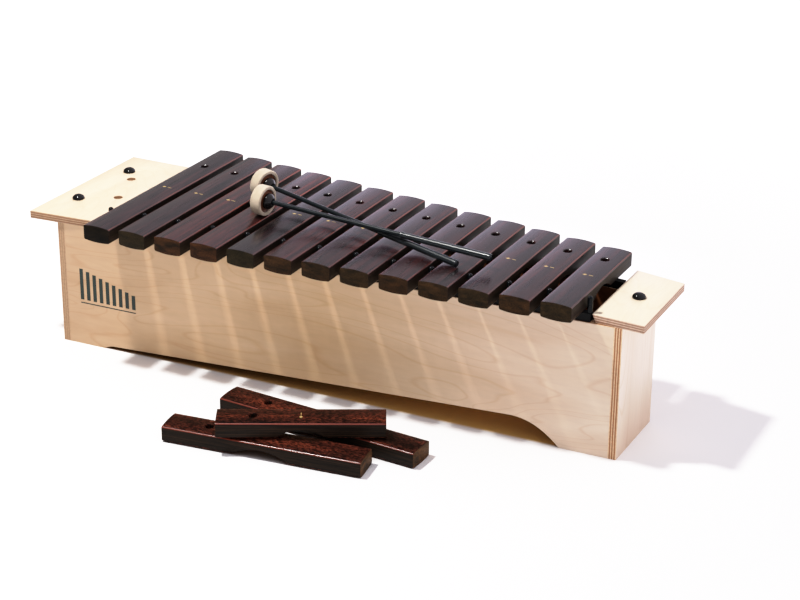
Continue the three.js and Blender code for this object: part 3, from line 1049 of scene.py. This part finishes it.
def spare_bars(gold):
    for index, (node, (length, turn, glow, tuning_depth)) in enumerate(SPARE_BARS.items()):
        turned = Matrix.Rotation(math.radians(90 + turn), 4, "Z")
        spot = bar_spot(node) @ turned @ Matrix.Scale(MM, 4)
        seed = 11.3 + 5.7 * index
        finishes = [
            exchange_rosewood(node + "_wood", seed, glow),
            rosewood_end(node + "_end_grain", 0.55, seed, SPARE_BAR_END_STRENGTH),
            edge_highlight(node + "_edges", 0.8),
            side_painted_darker(node + "_sides", seed, SPARE_SIDE_SPECULAR),
        ]
        piece = add_piece(node + "_blank", bar_mesh(length, tuning_depth), finishes, spot)
        stand_for(piece, node, node)
        if node == "spare_bar_top":
            mark_bar(node, gold, spot)


# ---------------- mallets

MALLET_LENGTH = 256
HEAD_RADIUS = 15
HEAD_WIDTH = 13
HEAD_BACK = 1.6 - HEAD_WIDTH / 2
CORE_RADIUS = 11.3
HUB_RADIUS = 8
HUB_LENGTH = 7
SHAFT_RADIUS = 2.4
GRIP_RADIUS = 3.4
GRIP_START = 159
BUTT_STEPS = 6
RING_EDGE_STEPS = 6


def ring_profile():
    """The felt ring: rounded outside, with a small chamfer round the core."""
    half = HEAD_WIDTH / 2
    back = HEAD_BACK
    bore = CORE_RADIUS + FIT_GAP
    edge = 1.3
    lip = 0.5
    profile = [(bore, back + 0.7), (bore + lip, back + 0.1)]
    profile += dome((HEAD_RADIUS - edge, back + edge), edge, -edge, RING_EDGE_STEPS)[::-1]
    profile += dome((HEAD_RADIUS - edge, half - edge), edge, edge, RING_EDGE_STEPS)
    profile += [(bore + lip, half - 0.1), (bore, half - 0.7)]
    return profile


def core_profile():
    """The turned core: dished behind, and grooved round the hub in front."""
    bore = SHAFT_RADIUS + FIT_GAP
    back = HEAD_BACK + 0.8
    front = HEAD_WIDTH / 2 - 1
    profile = [(bore, back + 0.8), (bore + 3, back + 0.8), (CORE_RADIUS - 1, back)]
    profile += [(CORE_RADIUS, back + 0.7), (CORE_RADIUS, front - 0.7), (CORE_RADIUS - 0.8, front)]
    profile += [(CORE_RADIUS - 2.0, front - 0.5), (HUB_RADIUS, front - 0.3), (bore, front)]
    return profile


def hub_profile():
    """A short collar that tapers to the shaft."""
    bore = SHAFT_RADIUS + FIT_GAP
    start = HEAD_WIDTH / 2 - 0.7
    end = start + HUB_LENGTH
    shoulder = (HUB_RADIUS, start + 0.3 * HUB_LENGTH)
    waist = HUB_RADIUS * 0.55
    profile = [(bore, start), (HUB_RADIUS - 0.4, start), (HUB_RADIUS, start + 0.4), shoulder]
    profile += curve(shoulder, (HUB_RADIUS, shoulder[1] + 1.4), (waist, end - 0.4), 8)
    return profile + [(waist - 0.4, end), (bore, end)]


def shaft_profile():
    """Slimmer towards the head."""
    head_end = HEAD_BACK + 1.2
    neck = SHAFT_RADIUS - 0.15
    profile = [(0, head_end), (neck, head_end), (neck, HEAD_WIDTH), (SHAFT_RADIUS, GRIP_START - 20)]
    return profile + [(SHAFT_RADIUS, MALLET_LENGTH - 2), (0, MALLET_LENGTH - 2)]


def grip_profile():
    """A sleeve with a rolled lip where it starts and a rounded butt."""
    bore = SHAFT_RADIUS + FIT_GAP
    profile = [(bore, GRIP_START), (GRIP_RADIUS - 0.45, GRIP_START)]
    profile += [(GRIP_RADIUS - 0.1, GRIP_START + 0.5), (GRIP_RADIUS - 0.1, GRIP_START + 2.4)]
    profile += [(GRIP_RADIUS - 0.4, GRIP_START + 3.2), (GRIP_RADIUS - 0.35, GRIP_START + 12)]
    profile += [(GRIP_RADIUS - 0.1, GRIP_START + 60), (GRIP_RADIUS, MALLET_LENGTH - 9)]
    rise = 1.6
    return profile + dome((bore, MALLET_LENGTH - rise), GRIP_RADIUS - bore, rise, BUTT_STEPS)


def butt_profile():
    """The closed end of the shaft, showing inside the sleeve's mouth."""
    radius = SHAFT_RADIUS + 0.2
    inner, tip, rise = MALLET_LENGTH - 4, MALLET_LENGTH - 0.1, 1.3
    rounded = dome((0, MALLET_LENGTH - 1.4), radius, rise, BUTT_STEPS)[:-1]
    return [(0, inner), (radius, inner), *rounded, (0, tip)]


def mallet(body, finishes):
    """A mallet along the line from its CAD head to its CAD grip."""
    head = middle_of(body + "_ring")
    butt = middle_of(body + "_grip")
    along = (butt - head).normalized()
    spot = Matrix.Translation(head) @ along.to_track_quat("Z", "Y").to_matrix().to_4x4()
    spot = spot @ Matrix.Scale(MM, 4)
    profiles = {
        "ring": (ring_profile(), "mallet_felt"),
        "core": (core_profile(), "mallet_core"),
        "hub": (hub_profile(), "mallet_hub"),
        "shaft": (shaft_profile(), "mallet_shaft"),
        "grip": (grip_profile(), "mallet_grip"),
    }
    for part, (profile, slot) in profiles.items():
        made = revolved(profile)
        if part == "grip":
            made = joined([made, revolved(butt_profile())])
        piece = add_piece(body + "_" + part + "_turned", made, [finishes[slot]], spot)
        stand_for(piece, body, body + "_" + part)


# ---------------- printed mark

MARK_LEFT = -288
MARK_BASE = 50
STROKE_WIDTH = 4.2
STROKE_PITCH = 7.6
STROKE_COUNT = 9
TALLEST_STROKE = 34
STROKE_STEP = 2.3


def stamp(x0, x1, z0, z1):
    """A thin oblong on the front panel's outer face, sunk a little into it."""
    corners = [(x0, z0), (x1, z0), (x1, z1), (x0, z1)]
    return prism(
        corners,
        lambda x, z: (x, -box_half_at(x) - 0.03, z),
        lambda x, z: (x, -box_half_at(x) + 0.15, z),
    )


def panel_mark(ink):
    """A row of plain graded strokes over a base line, a generic mark on the front panel."""
    parts = []
    for index in range(STROKE_COUNT):
        x = MARK_LEFT + index * STROKE_PITCH
        height = TALLEST_STROKE - STROKE_STEP * index
        parts.append(stamp(x, x + STROKE_WIDTH, MARK_BASE, MARK_BASE + height))
    right = MARK_LEFT + STROKE_COUNT * STROKE_PITCH - (STROKE_PITCH - STROKE_WIDTH)
    parts.append(stamp(MARK_LEFT, right, MARK_BASE - 4, MARK_BASE - 2.8))
    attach(add_piece("front_panel_mark", joined(parts), [ink]), "box")


# ---------------- studio

AZIMUTH = 28.93
ELEVATION = 21.40
AIM_FROM_CENTRE = (-0.0051, 0.0778, 0.0772)
CAMERA_DISTANCE = 1.8988
LENS = 87.06
SENSOR_WIDTH = 36
SHIFT = (0.05, -0.125)


def add_camera():
    azimuth, elevation = math.radians(AZIMUTH), math.radians(ELEVATION)
    level = math.cos(elevation)
    back = Vector((math.sin(azimuth) * level, -math.cos(azimuth) * level, math.sin(elevation)))
    aim = (cad_low + cad_high) / 2 + Vector(AIM_FROM_CENTRE)
    data = bpy.data.cameras.new("camera")
    data.lens = LENS
    data.sensor_width = SENSOR_WIDTH
    data.shift_x, data.shift_y = SHIFT
    camera = bpy.data.objects.new("camera", data)
    camera.location = aim + back * CAMERA_DISTANCE
    camera.rotation_mode = "QUATERNION"
    camera.rotation_quaternion = (-back).to_track_quat("-Z", "Y")
    bpy.context.scene.collection.objects.link(camera)
    bpy.context.scene.camera = camera


KEY_POWER = 70
CARD_POWER = 0.42
BRIGHT_SIDE = (0.78, 0.48, 0.42)
WHITE_LEVEL = 2.0
# Points of the film curve between (0, 0) and (1, 1)
SHOULDER = ((0.02, 0.034), (0.06, 0.118), (0.2, 0.43), (0.36, 0.765), (0.5, 0.93), (0.66, 0.992))
FLOOR_REACH = 12
FLOOR_DEPTH = 0.02


def add_light(name, kind, location, power, color, aim=None, **settings):
    data = bpy.data.lights.new(name, kind)
    data.energy = power
    data.color = color
    for key, value in settings.items():
        setattr(data, key, value)
    light = bpy.data.objects.new(name, data)
    light.location = location
    if aim is not None:
        light.rotation_mode = "QUATERNION"
        light.rotation_quaternion = (Vector(aim) - Vector(location)).to_track_quat("-Z", "Y")
    light.visible_camera = False
    bpy.context.scene.collection.objects.link(light)


def add_surroundings():
    """White surroundings, brightest and coolest to the right and behind, dimmest in front."""
    world = bpy.data.worlds.new("studio")
    world.use_nodes = True
    tree = world.node_tree
    background = tree.nodes["Background"]
    coords = tree.nodes.new("ShaderNodeTexCoord").outputs["Generated"]
    side = between(tree, dot_with(tree, coords, Vector(BRIGHT_SIDE).normalized()), 0.5, 1.0)
    stops = [(0.0, 0.17), (0.28, 0.24), (0.6, 0.68), (0.8, 1.06), (1.0, 1.3)]
    tree.links.new(ramp(tree, side, stops), background.inputs["Strength"])
    tint = ramp(tree, side, [(0.25, (1.0, 0.93, 0.85)), (0.6, (0.94, 0.895, 0.97))])
    tree.links.new(tint, background.inputs["Color"])
    bpy.context.scene.world = world


def add_film_curve():
    """A soft shoulder, so that what the key light falls on keeps its colour."""
    settings = bpy.context.scene.view_settings
    settings.view_transform = "Standard"
    settings.use_curve_mapping = True
    mapping = settings.curve_mapping
    mapping.white_level = (WHITE_LEVEL,) * 3
    combined = mapping.curves[3]
    combined.points[0].location = (0, 0)
    combined.points[-1].location = (1, 1)
    for x, y in SHOULDER:
        combined.points.new(x, y)
    mapping.update()


def add_lights():
    """A key above the left front, and a violet card close behind the bars for their sheen."""
    key_place = ORIGIN + Vector((-0.38, -0.32, 1.27))
    add_light("key", "POINT", key_place, KEY_POWER, (1.0, 0.985, 0.96), shadow_soft_size=0.05)
    card = ORIGIN + Vector((-0.11, 0.45, 0.20))
    toward_bars = ORIGIN + Vector((-0.11, -0.05, 0.16))
    card_shape = {"shape": "RECTANGLE", "size": 0.56, "size_y": 0.22}
    add_light("card", "AREA", card, CARD_POWER, (0.80, 0.71, 1.0), toward_bars, **card_shape)


def add_floor():
    reach = FLOOR_REACH
    corners = [(-reach, -reach), (reach, -reach), (reach, reach), (-reach, reach)]
    made = slab(corners, -FLOOR_DEPTH, 0)
    add_piece("floor", made, [floor_finish("floor")], Matrix.Identity(4))


# ---------------- the whole


def box_boards():
    side_panel("front_board", -1, "side_panel_front", 1.0, FRONT_LOOKS)
    side_panel("rear_board", 1, "side_panel_rear", 2.0, REAR_LOOKS)
    end_panel("bass_end_board", BOX_LEFT, INNER_LEFT, "end_panel_bass", 3.0, BASS_END_LOOKS)
    place = (INNER_RIGHT, BOX_RIGHT)
    end_panel("treble_end_board", *place, "end_panel_treble", 5.0, TREBLE_END_LOOKS)
    resonator_floor()


def end_plates():
    bass_knobs, treble_knobs = ["knob_bass_near", "knob_bass_far"], ["knob_treble"]
    bass = (BASS_PLATE, BASS_SOCKETS, bass_knobs, 0)
    plate_board("bass_plate_board", *bass, "end_plate_bass", 6.0, BASS_PLATE_LOOKS)
    treble = (TREBLE_PLATE, [], treble_knobs, PLATE_UNDERCUT)
    plate_board("treble_plate_board", *treble, "end_plate_treble", 7.0, TREBLE_PLATE_LOOKS)
    plastic = moulded("black_plastic", (0.003, 0.003, 0.003), 0.07, GLOSS_GRAIN, 0.000001, 0.3)
    for node in bass_knobs + treble_knobs:
        knob(node, plastic)


def bar_supports():
    rubber = moulded("black_rubber", (0.005, 0.005, 0.005), 0.6, RUBBER_GRAIN, 0.00006, 0.12)
    sleeve = moulded("pin_rubber", (0.003, 0.004, 0.005), 0.2, SLEEVE_GRAIN, 0.000002, 0.14)
    front_holes = [bar_x(i - 0.5) for i in range(BAR_COUNT + 1)]
    rear_holes = [bar_x(i) for i in range(BAR_COUNT)]
    cushion_rail("front_cushion", -1, BOX_HEIGHT, front_holes, "cushion_rail_front", rubber)
    rear_bottom = BOX_HEIGHT + STRIP_HEIGHT
    cushion_rail("rear_cushion", 1, rear_bottom, rear_holes, "cushion_rail_rear", rubber)
    rear_pins(sleeve, rear_holes)
    front_pins(sleeve, front_holes)


def both_mallets():
    hub, shaft, grip = (0.007, 0.006, 0.006), (0.004, 0.007, 0.009), (0.005, 0.009, 0.012)
    finishes = {
        "mallet_felt": felt_finish("cream_felt"),
        "mallet_core": turned_wood("turned_core"),
        "mallet_hub": moulded("hub_plastic", hub, 0.22, GLOSS_GRAIN, 0.000004, 0.3),
        "mallet_shaft": moulded("shaft_lacquer", shaft, 0.32, GLOSS_GRAIN, 0.000002, 0.25),
        "mallet_grip": moulded("grip_sleeve", grip, 0.32, GLOSS_GRAIN, 0.000002, 0.5),
    }
    for body in ("mallet_lower", "mallet_upper"):
        mallet(body, finishes)


def main():
    add_camera()
    add_surroundings()
    add_film_curve()
    add_lights()
    add_floor()
    box_boards()
    end_plates()
    bar_supports()
    gold = gold_paint("gold_paint")
    mounted_bars(gold)
    spare_bars(gold)
    both_mallets()
    panel_mark(printed_ink("green_black_ink"))


main()
